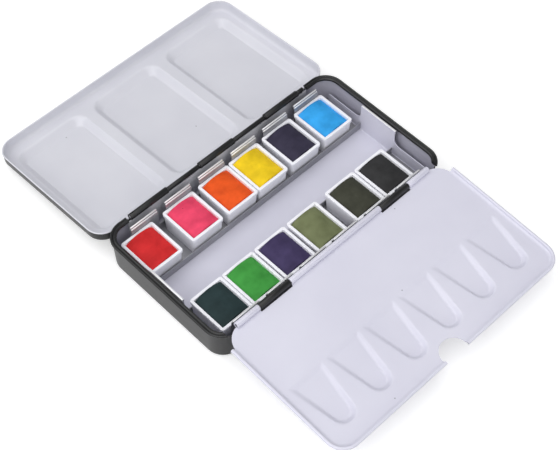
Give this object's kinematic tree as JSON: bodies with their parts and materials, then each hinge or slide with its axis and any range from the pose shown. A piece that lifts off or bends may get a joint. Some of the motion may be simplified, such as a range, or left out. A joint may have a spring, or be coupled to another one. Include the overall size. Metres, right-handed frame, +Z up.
{
  "type": "watercolour paint set",
  "caption": "Flat folding tin of watercolour half pans in clip rails, with a hinged lid that has mixing wells and a fold-out mixing flap with a thumb notch.",
  "frame": {"origin": "centre of the tin body's flat underside, on the table", "axes": "+X along the tin, +Y from the mixing flap towards the lid, +Z up"},
  "size_m": [0.1276, 0.202, 0.0181],
  "materials": {
    "black_enamel": "satin black outside, white inside",
    "lid_enamel": "gloss white inside, satin black outside",
    "white_enamel": "gloss white",
    "steel_wire": "drawn wire",
    "tinplate": "white enamel on tinplate",
    "rail_tinplate": "bare tinplate",
    "pan_plastic": "white moulded",
    "paint_back_1": "dry signal red watercolour",
    "paint_back_2": "dry rose pink watercolour",
    "paint_back_3": "dry orange watercolour",
    "paint_back_4": "dry yellow watercolour",
    "paint_back_5": "dry dark indigo watercolour",
    "paint_back_6": "dry sky blue watercolour",
    "paint_front_1": "dry dark bluish green watercolour",
    "paint_front_2": "dry green watercolour",
    "paint_front_3": "dry violet watercolour",
    "paint_front_4": "dry olive watercolour",
    "paint_front_5": "dry dark olive watercolour",
    "paint_front_6": "dry soft black watercolour"
  },
  "bodies": {
    "base": {"base_tin": "black_enamel", "lid_hinge_pin": "steel_wire", "flap_hinge_pin": "steel_wire"},
    "lid": {"lid": "lid_enamel"},
    "flap": {"mixing_flap": "white_enamel"},
    "tray": {"insert_tray": "tinplate", "back_clip_rail": "rail_tinplate", "front_clip_rail": "rail_tinplate"},
    "half_pan_back_1": {"pan_back_1": "pan_plastic", "cake_back_1": "paint_back_1"},
    "half_pan_back_2": {"pan_back_2": "pan_plastic", "cake_back_2": "paint_back_2"},
    "half_pan_back_3": {"pan_back_3": "pan_plastic", "cake_back_3": "paint_back_3"},
    "half_pan_back_4": {"pan_back_4": "pan_plastic", "cake_back_4": "paint_back_4"},
    "half_pan_back_5": {"pan_back_5": "pan_plastic", "cake_back_5": "paint_back_5"},
    "half_pan_back_6": {"pan_back_6": "pan_plastic", "cake_back_6": "paint_back_6"},
    "half_pan_front_1": {"pan_front_1": "pan_plastic", "cake_front_1": "paint_front_1"},
    "half_pan_front_2": {"pan_front_2": "pan_plastic", "cake_front_2": "paint_front_2"},
    "half_pan_front_3": {"pan_front_3": "pan_plastic", "cake_front_3": "paint_front_3"},
    "half_pan_front_4": {"pan_front_4": "pan_plastic", "cake_front_4": "paint_front_4"},
    "half_pan_front_5": {"pan_front_5": "pan_plastic", "cake_front_5": "paint_front_5"},
    "half_pan_front_6": {"pan_front_6": "pan_plastic", "cake_front_6": "paint_front_6"}
  },
  "joints": [
    {"name": "lid_hinge", "type": "hinge", "parent": "base", "child": "lid", "pos_m": [0, 0.034, 0.01505], "axis": [-1, 0, 0], "range_deg": [-184.39, 0]},
    {"name": "flap_hinge", "type": "hinge", "parent": "base", "child": "flap", "pos_m": [0, -0.0329, 0.0168], "axis": [1, 0, 0], "range_deg": [-183.7, 0]},
    {"name": "tray_lift", "type": "slide", "parent": "base", "child": "tray", "axis": [0, 0, 1], "range_m": [0, 0.03]},
    {"name": "lift_back_1", "type": "slide", "parent": "tray", "child": "half_pan_back_1", "axis": [0, 0, 1], "range_m": [0, 0.02]},
    {"name": "lift_back_2", "type": "slide", "parent": "tray", "child": "half_pan_back_2", "axis": [0, 0, 1], "range_m": [0, 0.02]},
    {"name": "lift_back_3", "type": "slide", "parent": "tray", "child": "half_pan_back_3", "axis": [0, 0, 1], "range_m": [0, 0.02]},
    {"name": "lift_back_4", "type": "slide", "parent": "tray", "child": "half_pan_back_4", "axis": [0, 0, 1], "range_m": [0, 0.02]},
    {"name": "lift_back_5", "type": "slide", "parent": "tray", "child": "half_pan_back_5", "axis": [0, 0, 1], "range_m": [0, 0.02]},
    {"name": "lift_back_6", "type": "slide", "parent": "tray", "child": "half_pan_back_6", "axis": [0, 0, 1], "range_m": [0, 0.02]},
    {"name": "lift_front_1", "type": "slide", "parent": "tray", "child": "half_pan_front_1", "axis": [0, 0, 1], "range_m": [0, 0.02]},
    {"name": "lift_front_2", "type": "slide", "parent": "tray", "child": "half_pan_front_2", "axis": [0, 0, 1], "range_m": [0, 0.02]},
    {"name": "lift_front_3", "type": "slide", "parent": "tray", "child": "half_pan_front_3", "axis": [0, 0, 1], "range_m": [0, 0.02]},
    {"name": "lift_front_4", "type": "slide", "parent": "tray", "child": "half_pan_front_4", "axis": [0, 0, 1], "range_m": [0, 0.02]},
    {"name": "lift_front_5", "type": "slide", "parent": "tray", "child": "half_pan_front_5", "axis": [0, 0, 1], "range_m": [0, 0.02]},
    {"name": "lift_front_6", "type": "slide", "parent": "tray", "child": "half_pan_front_6", "axis": [0, 0, 1], "range_m": [0, 0.02]}
  ]
}
